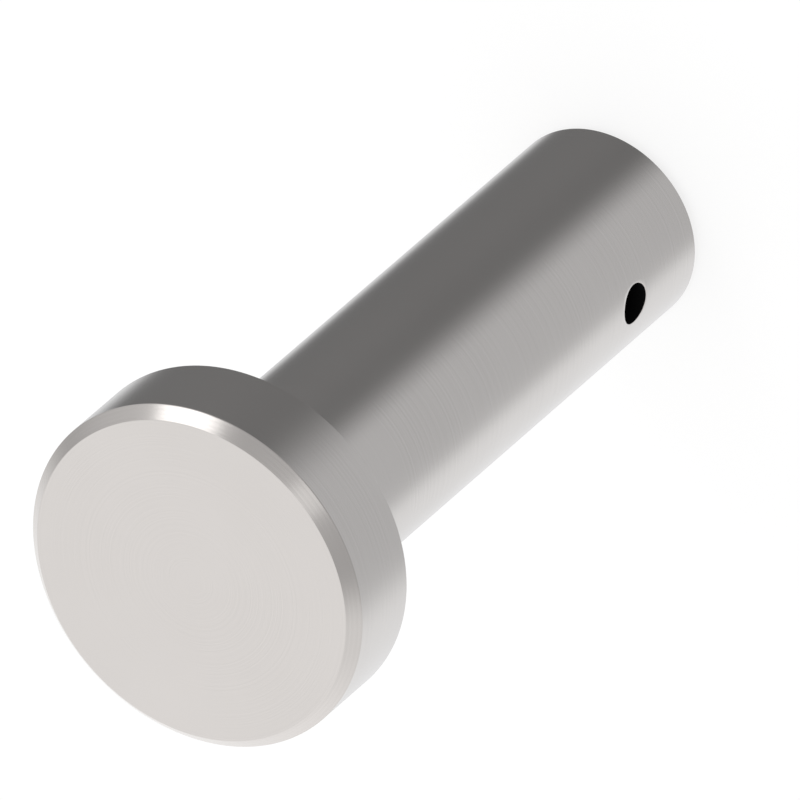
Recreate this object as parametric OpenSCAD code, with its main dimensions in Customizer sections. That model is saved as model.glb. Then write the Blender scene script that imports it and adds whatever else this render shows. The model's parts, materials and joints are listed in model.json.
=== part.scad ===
// Headed swivel pin, turned from one steel bar and cross-drilled for a split pin.
// It stands on its free end: Z runs along the axis, from the free end at 0 up to the head's flat top.
// The split-pin hole runs across the shank, along Y.

/* [Shank] */
// Diameter of the shank
shank_d = 16; // [10:0.5:22]
// Length of the shank, from the free end to the bearing face under the head
shank_l = 54; // [30:0.5:90]
// Lead-in chamfer of the free end, measured across and along the axis
end_chamfer = 0.8; // [0.3:0.1:2]

/* [Head] */
// Diameter of the head
head_d = 28; // [25:0.5:40]
// Thickness of the head, from the bearing face to the flat top
head_h = 7.4; // [4:0.1:12]
// Chamfer round the head's flat top, measured across and along the axis
head_chamfer = 0.9; // [0.3:0.1:2.5]
// Radius of the fillet where the shank meets the bearing face
fillet_r = 0.6; // [0.2:0.1:1.2]

/* [Split-pin hole] */
// Diameter of the hole
hole_d = 3.2; // [1.6:0.1:5]
// Distance from the free end to the hole's axis
hole_from_end = 9.75; // [6:0.05:20]

/* [Hidden] */
steel_colour = [0.84, 0.83, 0.82];
shank_r = shank_d / 2;
head_r = head_d / 2;
overall_l = shank_l + head_h;
// The drill runs this far past the shank on each side
drill_past = 1;
// Sides of each full circle
round_fn = 128;

// Half of the pin's lengthwise section, from the axis out
module half_section() {
    shank_outline();
    head_outline();
    fillet_outline();
}

// The shank and its lead-in chamfer
module shank_outline() {
    polygon([
        [0, 0],
        [shank_r - end_chamfer, 0],
        [shank_r, end_chamfer],
        [shank_r, shank_l],
        [0, shank_l]
    ]);
}

// The head, chamfered at the top edge only
module head_outline() {
    polygon([
        [0, shank_l],
        [head_r, shank_l],
        [head_r, overall_l - head_chamfer],
        [head_r - head_chamfer, overall_l],
        [0, overall_l]
    ]);
}

// The corner that the turning tool's nose leaves, a square less a quarter circle
module fillet_outline() {
    translate([shank_r, shank_l - fillet_r]) difference() {
        square(fillet_r);
        translate([fillet_r, 0]) circle(r = fillet_r, $fn = round_fn);
    }
}

module split_pin_hole() {
    drill_l = shank_d + 2 * drill_past;
    translate([0, 0, hole_from_end])
        rotate([90, 0, 0])
            cylinder(h = drill_l, d = hole_d, center = true, $fn = round_fn);
}

module swivel_pin() {
    color(steel_colour) difference() {
        rotate_extrude($fn = round_fn) half_section();
        split_pin_hole();
    }
}

swivel_pin();
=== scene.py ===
import json
import math

import bmesh
import bpy
from mathutils import Matrix, Vector


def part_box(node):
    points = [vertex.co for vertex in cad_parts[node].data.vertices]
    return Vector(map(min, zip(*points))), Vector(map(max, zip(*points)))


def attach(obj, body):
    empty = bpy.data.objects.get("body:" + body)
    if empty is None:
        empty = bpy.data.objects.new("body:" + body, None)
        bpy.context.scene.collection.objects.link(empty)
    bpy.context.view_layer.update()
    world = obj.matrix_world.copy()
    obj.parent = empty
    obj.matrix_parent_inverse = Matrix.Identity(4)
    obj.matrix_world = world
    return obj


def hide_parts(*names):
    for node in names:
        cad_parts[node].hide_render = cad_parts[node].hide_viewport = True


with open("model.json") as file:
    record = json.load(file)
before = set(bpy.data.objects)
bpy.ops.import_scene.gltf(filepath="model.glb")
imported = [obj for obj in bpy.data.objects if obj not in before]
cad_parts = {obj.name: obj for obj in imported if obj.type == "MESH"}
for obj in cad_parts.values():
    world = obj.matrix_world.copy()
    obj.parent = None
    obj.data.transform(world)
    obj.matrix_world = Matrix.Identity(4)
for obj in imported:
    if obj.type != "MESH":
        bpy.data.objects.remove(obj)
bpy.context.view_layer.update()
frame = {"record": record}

# The swivel pin
# One bar of bare steel, turned to a plain shank and a thick flat head, with a small fillet between them
# and a chamfer at each end. A split-pin hole is drilled square across the shank near its free end.
MM = 0.001
highest_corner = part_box("swivel_pin")[1]
mounts = {mount["name"]: mount for mount in frame["record"]["mounts"]}
SHANK_RADIUS = mounts["shank"]["dims"]["r_mm"] * MM
HEAD_RADIUS = highest_corner.x
HEAD_SEAT = mounts["bearing_face"]["pos_m"][2]
HEAD_TOP = highest_corner.z
END_CHAMFER = 0.8 * MM
HEAD_CHAMFER = 0.9 * MM
SEAT_FILLET = 0.6 * MM
FILLET_STEPS = 8
EDGE_BREAK = 0.05 * MM
EDGE_STEPS = 3
HOLE_RADIUS = mounts["split_pin_hole"]["dims"]["r_mm"] * MM
HOLE_HEIGHT = mounts["split_pin_hole"]["pos_m"][2]
MOUTH_BREAK = 0.02 * MM
MOUTH_STEPS = 2
TINY = 0.001 * MM

# The shank's rows of faces lie one step of the turn apart beside the hole, and further apart above it
TURN_STEPS = 192
STEP_ANGLE = 2 * math.pi / TURN_STEPS
STEP_ARC = SHANK_RADIUS * STEP_ANGLE
PATCH_STEPS = 12
LONG_ROW = 10 * STEP_ARC
ROWS_END = HEAD_SEAT - 2 * SEAT_FILLET
patch_rows = [HOLE_HEIGHT + step * STEP_ARC for step in range(-PATCH_STEPS, PATCH_STEPS + 1)]
long_row_count = int((ROWS_END - patch_rows[-1]) / LONG_ROW)
long_rows = [patch_rows[-1] + row * LONG_ROW for row in range(1, long_row_count + 1)]

# Half of the lengthwise section, as radius and height, from the free end's centre to the head's
half_section = [(0, 0), (SHANK_RADIUS - END_CHAMFER, 0), (SHANK_RADIUS, END_CHAMFER)]
half_section += [(SHANK_RADIUS, height) for height in patch_rows + long_rows]
half_section += [
    (SHANK_RADIUS, HEAD_SEAT),
    (HEAD_RADIUS, HEAD_SEAT),
    (HEAD_RADIUS, HEAD_TOP - HEAD_CHAMFER),
    (HEAD_RADIUS - HEAD_CHAMFER, HEAD_TOP),
    (0, HEAD_TOP),
]

turned = bmesh.new()
outline = [turned.verts.new((radius, 0, height)) for radius, height in half_section]
lines = [turned.edges.new(pair) for pair in zip(outline, outline[1:])]
bmesh.ops.spin(
    turned,
    geom=outline + lines,
    cent=(0, 0, 0),
    axis=(0, 0, 1),
    angle=2 * math.pi,
    steps=TURN_STEPS,
    use_merge=True,
)
bmesh.ops.remove_doubles(turned, verts=turned.verts, dist=TINY)
bmesh.ops.recalc_face_normals(turned, faces=turned.faces)


def ring_edges(radius, height):
    """The edges that run round the pin at this radius and height."""

    def on_ring(vert):
        return abs(vert.co.xy.length - radius) < TINY and abs(vert.co.z - height) < TINY

    return [edge for edge in turned.edges if all(on_ring(vert) for vert in edge.verts)]


def round_edges(edges, size, steps):
    """Rounds these edges off, or fills them where they are inner corners."""
    return bmesh.ops.bevel(
        turned, geom=edges, offset=size, segments=steps, profile=0.5, affect="EDGES", material=-1
    )


# The tool's nose leaves the fillet under the head, and every sharp edge is just broken
round_edges(ring_edges(SHANK_RADIUS, HEAD_SEAT), SEAT_FILLET, FILLET_STEPS)
for radius, height in (
    (SHANK_RADIUS - END_CHAMFER, 0),
    (SHANK_RADIUS, END_CHAMFER),
    (HEAD_RADIUS, HEAD_SEAT),
    (HEAD_RADIUS, HEAD_TOP - HEAD_CHAMFER),
    (HEAD_RADIUS - HEAD_CHAMFER, HEAD_TOP),
):
    round_edges(ring_edges(radius, height), EDGE_BREAK, EDGE_STEPS)

# The hole's wall runs between two round mouths, each let into a square patch of the shank's faces
MOUTH_RINGS = 6
WALL_CUTS = 7
STEEL_SLOT, DRILLED_SLOT = 0, 1


def inside_patch(face, side):
    """Whether a face lies in the shank's patch on this side, which is -1 or 1 along Y."""
    centre = face.calc_center_median()
    turn_from_mouth = abs(math.atan2(centre.x, side * centre.y))
    rise_from_mouth = abs(centre.z - HOLE_HEIGHT)
    return turn_from_mouth < PATCH_STEPS * STEP_ANGLE and rise_from_mouth < PATCH_STEPS * STEP_ARC


def let_in_mouth(side):
    """Cuts a round mouth into the shank's surface on this side and returns its edges."""
    patch = {face for face in turned.faces if inside_patch(face, side)}
    border = [edge for edge in turned.edges if len(patch.intersection(edge.link_faces)) == 1]
    bmesh.ops.delete(turned, geom=list(patch), context="FACES")
    upright = Matrix.Translation((0, 0, HOLE_HEIGHT)) @ Matrix.Rotation(math.pi / 2, 4, "X")
    circle = bmesh.ops.create_circle(turned, radius=HOLE_RADIUS, segments=len(border), matrix=upright)
    for vert in circle["verts"]:
        vert.co.y = side * math.sqrt(SHANK_RADIUS**2 - vert.co.x**2)
    mouth = list({edge for vert in circle["verts"] for edge in vert.link_edges})
    skirt = bmesh.ops.bridge_loops(turned, edges=border + mouth)
    rings = bmesh.ops.subdivide_edges(turned, edges=skirt["edges"], cuts=MOUTH_RINGS, use_grid_fill=True)
    for vert in (item for item in rings["geom_inner"] if isinstance(item, bmesh.types.BMVert)):
        vert.co.xy *= SHANK_RADIUS / vert.co.xy.length
    return mouth


mouths = let_in_mouth(-1) + let_in_mouth(1)
wall = bmesh.ops.bridge_loops(turned, edges=mouths)
for face in wall["faces"]:
    face.material_index = DRILLED_SLOT
bmesh.ops.subdivide_edges(turned, edges=wall["edges"], cuts=WALL_CUTS, use_grid_fill=True)
for face in round_edges(mouths, MOUTH_BREAK, MOUTH_STEPS)["faces"]:
    face.material_index = STEEL_SLOT
bmesh.ops.recalc_face_normals(turned, faces=turned.faces)

# Satin steel with a faint warm cast and very fine rings from the tool, their sheen painted as darker steel,
# and a hole wall painted near-black as the shade inside it
STEEL_COLOUR = (0.695, 0.665, 0.645, 1)
# The darker steel of the rings, a painted sheen
STEEL_PAINTED_RING_SHEEN = (0.665, 0.635, 0.615, 1)
STEEL_ROUGHNESS = 0.22
ROUGHNESS_SWING = 0.03
RING_SCALE = 5000
RING_DETAIL = 2
RING_RELIEF = 0.2
RING_DEPTH = 0.01 * MM
CLOUD_SCALE = 90
CLOUD_DETAIL = 3
# Where the rings' painted sheen begins and where it is full
RING_SHEEN_LOW, RING_SHEEN_HIGH = 0.1, 0.4
# The hole's wall is painted near-black as shade, in two near-blacks mixed in faint patches
HOLE_PAINTED_SHADE = (0.001, 0.001, 0.001, 1)
HOLE_PAINTED_SHADE_PATCH = (0.003, 0.003, 0.003, 1)
DRILLED_ROUGHNESS = 0.7
DRILLED_SPECULAR = 0.1
DRILLED_SCORE_SCALE = 900


def new_material(name):
    """A material with nodes, and its tree and main shader."""
    material = bpy.data.materials.new(name)
    material.use_nodes = True
    return material, material.node_tree, material.node_tree.nodes["Principled BSDF"]


def add_node(tree, kind, **settings):
    """A new node in this tree with these settings."""
    node = tree.nodes.new(kind)
    for setting, value in settings.items():
        setattr(node, setting, value)
    return node


def turned_steel():
    """Satin steel with the fine rings that the tool leaves, the rings' sheen painted as slightly darker
    steel.
    """
    material, tree, shader = new_material("turned_steel")
    join = tree.links.new
    shader.inputs["Metallic"].default_value = 1
    place = add_node(tree, "ShaderNodeTexCoord")

    # Height plus twice the radius changes all along the section, so the marks run round every surface
    axes = add_node(tree, "ShaderNodeSeparateXYZ")
    join(place.outputs["Object"], axes.inputs["Vector"])
    across = add_node(tree, "ShaderNodeVectorMath", operation="MULTIPLY")
    across.inputs[1].default_value = (1, 1, 0)
    join(place.outputs["Object"], across.inputs[0])
    radius = add_node(tree, "ShaderNodeVectorMath", operation="LENGTH")
    join(across.outputs["Vector"], radius.inputs[0])
    travel = add_node(tree, "ShaderNodeMath", operation="MULTIPLY_ADD")
    travel.inputs[1].default_value = 2
    join(radius.outputs["Value"], travel.inputs[0])
    join(axes.outputs["Z"], travel.inputs[2])
    rings = add_node(tree, "ShaderNodeTexNoise", noise_dimensions="1D")
    rings.inputs["Scale"].default_value = RING_SCALE
    rings.inputs["Detail"].default_value = RING_DETAIL
    join(travel.outputs["Value"], rings.inputs["W"])

    # The rings are stronger in some places than in others, and their sheen is painted as slightly darker
    # steel
    clouds = add_node(tree, "ShaderNodeTexNoise")
    clouds.inputs["Scale"].default_value = CLOUD_SCALE
    clouds.inputs["Detail"].default_value = CLOUD_DETAIL
    join(place.outputs["Object"], clouds.inputs["Vector"])
    patchy_rings = add_node(tree, "ShaderNodeMath", operation="MULTIPLY")
    join(rings.outputs["Fac"], patchy_rings.inputs[0])
    join(clouds.outputs["Fac"], patchy_rings.inputs[1])
    # How much of the painted ring sheen darkens the steel here
    painted_ring_sheen = add_node(tree, "ShaderNodeMapRange")
    painted_ring_sheen.inputs["From Min"].default_value = RING_SHEEN_LOW
    painted_ring_sheen.inputs["From Max"].default_value = RING_SHEEN_HIGH
    join(patchy_rings.outputs["Value"], painted_ring_sheen.inputs["Value"])
    tone = add_node(tree, "ShaderNodeMix", data_type="RGBA")
    tone.inputs["A"].default_value = STEEL_COLOUR
    tone.inputs["B"].default_value = STEEL_PAINTED_RING_SHEEN
    join(painted_ring_sheen.outputs["Result"], tone.inputs["Factor"])
    join(tone.outputs["Result"], shader.inputs["Base Color"])

    gloss = add_node(tree, "ShaderNodeMapRange")
    gloss.inputs["To Min"].default_value = STEEL_ROUGHNESS - ROUGHNESS_SWING
    gloss.inputs["To Max"].default_value = STEEL_ROUGHNESS + ROUGHNESS_SWING
    join(rings.outputs["Fac"], gloss.inputs["Value"])
    join(gloss.outputs["Result"], shader.inputs["Roughness"])
    relief = add_node(tree, "ShaderNodeBump")
    relief.inputs["Strength"].default_value = RING_RELIEF
    relief.inputs["Distance"].default_value = RING_DEPTH
    join(rings.outputs["Fac"], relief.inputs["Height"])
    join(relief.outputs["Normal"], shader.inputs["Normal"])
    return material


def drilled_wall():
    """The wall of the drilled hole, rough and painted near-black as the shade deep inside the hole."""
    material, tree, shader = new_material("drilled_wall")
    join = tree.links.new
    shader.inputs["Roughness"].default_value = DRILLED_ROUGHNESS
    shader.inputs["Specular IOR Level"].default_value = DRILLED_SPECULAR
    place = add_node(tree, "ShaderNodeTexCoord")
    scores = add_node(tree, "ShaderNodeTexNoise")
    scores.inputs["Scale"].default_value = DRILLED_SCORE_SCALE
    join(place.outputs["Object"], scores.inputs["Vector"])
    # Painted shade for the hole's wall, two near-blacks mixed by the drill's scores
    painted_shade = add_node(tree, "ShaderNodeMix", data_type="RGBA")
    painted_shade.inputs["A"].default_value = HOLE_PAINTED_SHADE
    painted_shade.inputs["B"].default_value = HOLE_PAINTED_SHADE_PATCH
    join(scores.outputs["Fac"], painted_shade.inputs["Factor"])
    join(painted_shade.outputs["Result"], shader.inputs["Base Color"])
    return material


def put_in_scene(name, data):
    """A new object that holds this data, at the origin."""
    item = bpy.data.objects.new(name, data)
    bpy.context.scene.collection.objects.link(item)
    return item


mesh = bpy.data.meshes.new("swivel_pin_turned")
turned.to_mesh(mesh)
turned.free()
mesh.shade_smooth()
mesh.materials.append(turned_steel())
mesh.materials.append(drilled_wall())
pin = put_in_scene("swivel_pin_turned", mesh)
even_shading = pin.modifiers.new("even_shading", "WEIGHTED_NORMAL")
even_shading.mode = "FACE_AREA"
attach(pin, "root")
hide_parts("swivel_pin")

# The floor
# A plain white sheet under the pin. The camera sees it white, darker only where the pin shades it. The
# steel mirrors the studio in place of it.
FLOOR_REACH = 3
FLOOR_GAP = 0.01 * MM
FLOOR_COLOUR = (0.8, 0.8, 0.8, 1)
FLOOR_SHADE = (0.3, 0.3, 0.3, 1)
FLOOR_GLOW = 0.76


def straight_sight(tree):
    """1 where the camera sees straight or through clear things, and 0 for mirrored or scattered light."""
    ray = add_node(tree, "ShaderNodeLightPath")
    either = add_node(tree, "ShaderNodeMath", operation="MAXIMUM")
    tree.links.new(ray.outputs["Is Camera Ray"], either.inputs[0])
    tree.links.new(ray.outputs["Is Transmission Ray"], either.inputs[1])
    return either.outputs["Value"]


def white_sheet():
    """A white sheet that glows for the camera alone and still takes the pin's shadow."""
    material, tree, plain = new_material("white_sheet")
    join = tree.links.new
    plain.inputs["Base Color"].default_value = FLOOR_COLOUR
    plain.inputs["Roughness"].default_value = 1
    plain.inputs["Specular IOR Level"].default_value = 0
    lit = add_node(tree, "ShaderNodeBsdfDiffuse")
    lit.inputs["Color"].default_value = FLOOR_SHADE
    glow = add_node(tree, "ShaderNodeEmission")
    glow.inputs["Strength"].default_value = FLOOR_GLOW
    seen = add_node(tree, "ShaderNodeAddShader")
    join(lit.outputs["BSDF"], seen.inputs[0])
    join(glow.outputs["Emission"], seen.inputs[1])
    choose = add_node(tree, "ShaderNodeMixShader")
    join(straight_sight(tree), choose.inputs["Fac"])
    join(plain.outputs["BSDF"], choose.inputs[1])
    join(seen.outputs["Shader"], choose.inputs[2])
    join(choose.outputs["Shader"], tree.nodes["Material Output"].inputs["Surface"])
    return material


sheet = bmesh.new()
just_below = Matrix.Translation((0, 0, -FLOOR_GAP))
bmesh.ops.create_grid(sheet, x_segments=1, y_segments=1, size=FLOOR_REACH, matrix=just_below)
floor_mesh = bpy.data.meshes.new("floor")
sheet.to_mesh(floor_mesh)
sheet.free()
floor_mesh.materials.append(white_sheet())
floor = put_in_scene("floor", floor_mesh)
floor.visible_glossy = False

# The studio
# A soft box lit all round, with a broad pale ceiling and two bands of grey wall, the lower one darker. Pale
# panels with soft edges stand before both bands towards -X, and a dim one before the upper band towards +Y.
CEILING_LEVEL = 0.99
UPPER_WALL_LEVEL = 0.46
LOWER_WALL_LEVEL = 0.175
LOWER_WALL_TINT = (0.985, 1.0, 1.015)
PLAIN_TINT = (1, 1, 1)
UPPER_WALL_START = (-46, -38)
CEILING_START = (43, 47)
BACKDROP_COLOUR = (1, 1, 1, 1)

world = bpy.data.worlds.new("studio")
world.use_nodes = True
bpy.context.scene.world = world
room = world.node_tree
join = room.links.new
look = add_node(room, "ShaderNodeTexCoord")
parts = add_node(room, "ShaderNodeSeparateXYZ")
join(look.outputs["Generated"], parts.inputs["Vector"])
flat_look = add_node(room, "ShaderNodeVectorMath", operation="MULTIPLY")
flat_look.inputs[1].default_value = (1, 1, 0)
join(look.outputs["Generated"], flat_look.inputs[0])
heading = add_node(room, "ShaderNodeVectorMath", operation="NORMALIZE")
join(flat_look.outputs["Vector"], heading.inputs[0])


def direction(compass_angle, height_angle):
    """The direction at this angle from +X towards +Y, and at this angle above the floor."""
    turned_to, raised_to = math.radians(compass_angle), math.radians(height_angle)
    flat = math.cos(raised_to)
    return Vector((flat * math.cos(turned_to), flat * math.sin(turned_to), math.sin(raised_to)))


def room_colour(level, tint=PLAIN_TINT):
    """The colour of a surface of the studio that is lit to this level."""
    return (*(level * share for share in tint), 1)


def soft_step(value, low, high):
    """A soft step, from 0 where the value is below low to 1 where it is above high."""
    step = add_node(room, "ShaderNodeMapRange", interpolation_type="SMOOTHSTEP")
    step.inputs["From Min"].default_value = low
    step.inputs["From Max"].default_value = high
    join(value, step.inputs["Value"])
    return step.outputs["Result"]


def above(low_angle, high_angle):
    """A soft step, from 0 below one height angle to 1 above the other."""
    low, high = math.sin(math.radians(low_angle)), math.sin(math.radians(high_angle))
    return soft_step(parts.outputs["Z"], low, high)


def wall(level, tint=PLAIN_TINT):
    """A plain wall all round the studio."""
    surface = add_node(room, "ShaderNodeRGB")
    surface.outputs["Color"].default_value = room_colour(level, tint)
    return surface.outputs["Color"]


def panel(behind, middle, reach, softness, level, tint=PLAIN_TINT):
    """A lit panel before a wall. It reaches this far to each side of its middle, in degrees round the
    studio, and its edges fade by this much to each side of that."""
    facing = add_node(room, "ShaderNodeVectorMath", operation="DOT_PRODUCT")
    facing.inputs[1].default_value = direction(middle, 0)
    join(heading.outputs["Vector"], facing.inputs[0])
    outer_edge = math.cos(math.radians(reach + softness))
    inner_edge = math.cos(math.radians(reach - softness))
    lit = add_node(room, "ShaderNodeMix", data_type="RGBA")
    join(soft_step(facing.outputs["Value"], outer_edge, inner_edge), lit.inputs["Factor"])
    join(behind, lit.inputs["A"])
    lit.inputs["B"].default_value = room_colour(level, tint)
    return lit.outputs["Result"]


upper_wall = wall(UPPER_WALL_LEVEL)
upper_wall = panel(upper_wall, middle=50, reach=28, softness=22, level=0.65)
upper_wall = panel(upper_wall, middle=177, reach=72, softness=14, level=0.88)
upper_wall = panel(upper_wall, middle=162, reach=36, softness=28, level=1.08)
lower_wall = wall(LOWER_WALL_LEVEL, LOWER_WALL_TINT)
lower_wall = panel(lower_wall, middle=-137, reach=111, softness=22, level=0.64, tint=LOWER_WALL_TINT)
lower_wall = panel(lower_wall, middle=171, reach=56, softness=16, level=0.98, tint=LOWER_WALL_TINT)

walls = add_node(room, "ShaderNodeMix", data_type="RGBA")
join(above(*UPPER_WALL_START), walls.inputs["Factor"])
join(lower_wall, walls.inputs["A"])
join(upper_wall, walls.inputs["B"])
whole = add_node(room, "ShaderNodeMix", data_type="RGBA")
join(above(*CEILING_START), whole.inputs["Factor"])
join(walls.outputs["Result"], whole.inputs["A"])
whole.inputs["B"].default_value = room_colour(CEILING_LEVEL)
light = room.nodes["Background"]
join(whole.outputs["Result"], light.inputs["Color"])

# The camera sees a white backdrop past the floor, and the steel sees the studio
backdrop = add_node(room, "ShaderNodeBackground")
backdrop.inputs["Color"].default_value = BACKDROP_COLOUR
pick = add_node(room, "ShaderNodeMixShader")
join(straight_sight(room), pick.inputs["Fac"])
join(light.outputs["Background"], pick.inputs[1])
join(backdrop.outputs["Background"], pick.inputs[2])
join(pick.outputs["Shader"], room.nodes["World Output"].inputs["Surface"])

# The softboxes
# Two square lamps that the head's chamfer mirrors. A bright one low at the pin's side lays the long
# white glint, and a small one beside the camera lays the short pale one.
LAMP_DISTANCE = 0.8


def softbox(name, compass_angle, height_angle, width, level):
    """A square lamp this wide that faces the head and looks this bright from there."""
    lamp_light = bpy.data.lights.new(name, "AREA")
    lamp_light.shape = "SQUARE"
    lamp_light.size = width
    lamp_light.energy = level * math.pi * width**2
    lamp = put_in_scene(name, lamp_light)
    towards_lamp = direction(compass_angle, height_angle)
    lamp.location = Vector((0, 0, HEAD_TOP)) + LAMP_DISTANCE * towards_lamp
    lamp.rotation_euler = towards_lamp.to_track_quat("Z", "Y").to_euler()
    lamp.visible_camera = False


softbox("side_softbox", compass_angle=33, height_angle=29, width=0.385, level=1.3)
softbox("front_softbox", compass_angle=-49, height_angle=44, width=0.22, level=0.43)

# The camera
# A very long lens far away, so that the pin's edges run almost parallel. It looks down on the head, and
# is rolled so that the pin lies from the lower left, where the head is, to the upper right.
SENSOR_WIDTH = 36
LENS = 1667
CAMERA_COMPASS = -40.9
CAMERA_HEIGHT_ANGLE = 48.49
CAMERA_ROLL = -130.89
CAMERA_DISTANCE = 2.7395
AIM = Vector((-0.30, 0.27, 30.36)) * MM

camera_data = bpy.data.cameras.new("camera")
camera_data.sensor_width = SENSOR_WIDTH
camera_data.lens = LENS
camera_data.clip_start = 0.1
camera_data.clip_end = 10
camera = put_in_scene("camera", camera_data)
towards_camera = direction(CAMERA_COMPASS, CAMERA_HEIGHT_ANGLE)
level_turn = towards_camera.to_track_quat("Z", "Y").to_matrix()
roll = Matrix.Rotation(math.radians(CAMERA_ROLL), 3, "Z")
camera.rotation_euler = (level_turn @ roll).to_euler()
camera.location = AIM + CAMERA_DISTANCE * towards_camera
bpy.context.scene.camera = camera
bpy.context.scene.view_settings.view_transform = "Standard"
